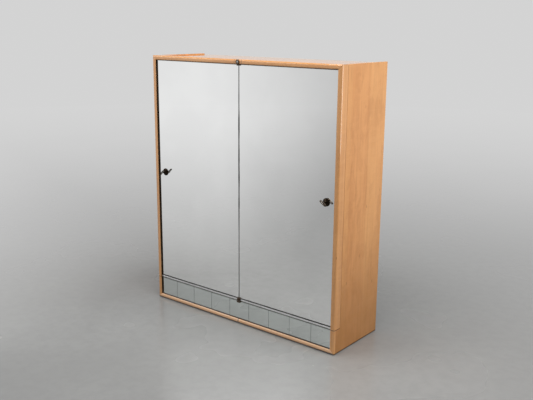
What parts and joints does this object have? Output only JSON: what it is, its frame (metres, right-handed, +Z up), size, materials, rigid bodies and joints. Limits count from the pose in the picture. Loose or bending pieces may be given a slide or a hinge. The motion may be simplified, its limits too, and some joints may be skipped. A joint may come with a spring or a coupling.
{
  "type": "armoire",
  "caption": "Honey-coloured wooden armoire with mirror-faced doors pivoting at the centre, a mirror-tiled plinth and dark bronze loop turn-grips.",
  "frame": {"origin": "centre of the overall footprint (handles included), on the floor", "axes": "+X to the right as seen from the front, -Y out of the front, +Z up"},
  "size_m": [1.6, 0.546, 1.81],
  "materials": {
    "honey_wood": "satin lacquered honey-coloured veneer and mouldings",
    "inner_wood": "satin, pale inside veneer",
    "plywood": "matt thin plywood",
    "mirror": "silvered float glass",
    "bronze": "dark patinated bronze",
    "steel": "satin zinc-plated steel",
    "aluminium": "satin",
    "rubber": "matt"
  },
  "bodies": {
    "carcass": {"back_panel_screws": "steel", "bottom_board": "inner_wood", "bottom_pivot_bracket": "bronze", "centre_partition": "inner_wood", "door_bumpers": "rubber", "fitting_screws": "steel", "floor_glides": "steel", "hanging_rail": "steel", "hat_shelf": "inner_wood", "keepers": "steel", "left_back_panel": "plywood", "left_bottom_moulding": "honey_wood", "left_plinth_moulding": "honey_wood", "left_side_panel": "honey_wood", "pivot_pins": "steel", "plinth_back_rail": "inner_wood", "plinth_centre_support": "inner_wood", "plinth_front_board": "inner_wood", "plinth_mirror_tiles": "mirror", "rail_sockets": "steel", "right_back_panel": "plywood", "right_bottom_moulding": "honey_wood", "right_plinth_moulding": "honey_wood", "right_side_panel": "honey_wood", "shelf_1": "inner_wood", "shelf_2": "inner_wood", "shelf_3": "inner_wood", "shelf_pins": "steel", "top_board": "honey_wood", "top_front_rail": "honey_wood", "top_pivot_bracket": "bronze", "top_pivot_cap_screw": "steel"},
    "left_door": {"left_door_back_skin": "inner_wood", "left_door_cross_rails": "inner_wood", "left_door_front_skin": "plywood", "left_door_handle_plates": "bronze", "left_door_inner_stile": "inner_wood", "left_door_mirror": "mirror", "left_door_mirror_channel": "aluminium", "left_door_mirror_gasket": "rubber", "left_door_outer_stile": "honey_wood", "left_door_pivot_shoes": "bronze", "left_door_screws": "steel"},
    "right_door": {"right_door_back_skin": "inner_wood", "right_door_cross_rails": "inner_wood", "right_door_front_skin": "plywood", "right_door_handle_plates": "bronze", "right_door_inner_stile": "inner_wood", "right_door_mirror": "mirror", "right_door_mirror_channel": "aluminium", "right_door_mirror_gasket": "rubber", "right_door_outer_stile": "honey_wood", "right_door_pivot_shoes": "bronze", "right_door_screws": "steel"},
    "left_handle": {"left_handle_grip": "bronze", "left_handle_spindle": "steel", "left_latch_tongue": "steel"},
    "right_handle": {"right_handle_grip": "bronze", "right_handle_spindle": "steel", "right_latch_tongue": "steel"}
  },
  "joints": [
    {"name": "left_door_hinge", "type": "hinge", "parent": "carcass", "child": "left_door", "pos_m": [-0.007, -0.231, 0.165], "axis": [0, 0, 1], "range_deg": [0, 85]},
    {"name": "right_door_hinge", "type": "hinge", "parent": "carcass", "child": "right_door", "pos_m": [0.007, -0.231, 0.165], "axis": [0, 0, -1], "range_deg": [0, 85]},
    {"name": "left_handle_turn", "type": "hinge", "parent": "left_door", "child": "left_handle", "pos_m": [-0.705, -0.225, 0.981], "axis": [0, 1, 0], "range_deg": [0, 90]},
    {"name": "right_handle_turn", "type": "hinge", "parent": "right_door", "child": "right_handle", "pos_m": [0.705, -0.225, 0.981], "axis": [0, -1, 0], "range_deg": [0, 90]}
  ]
}
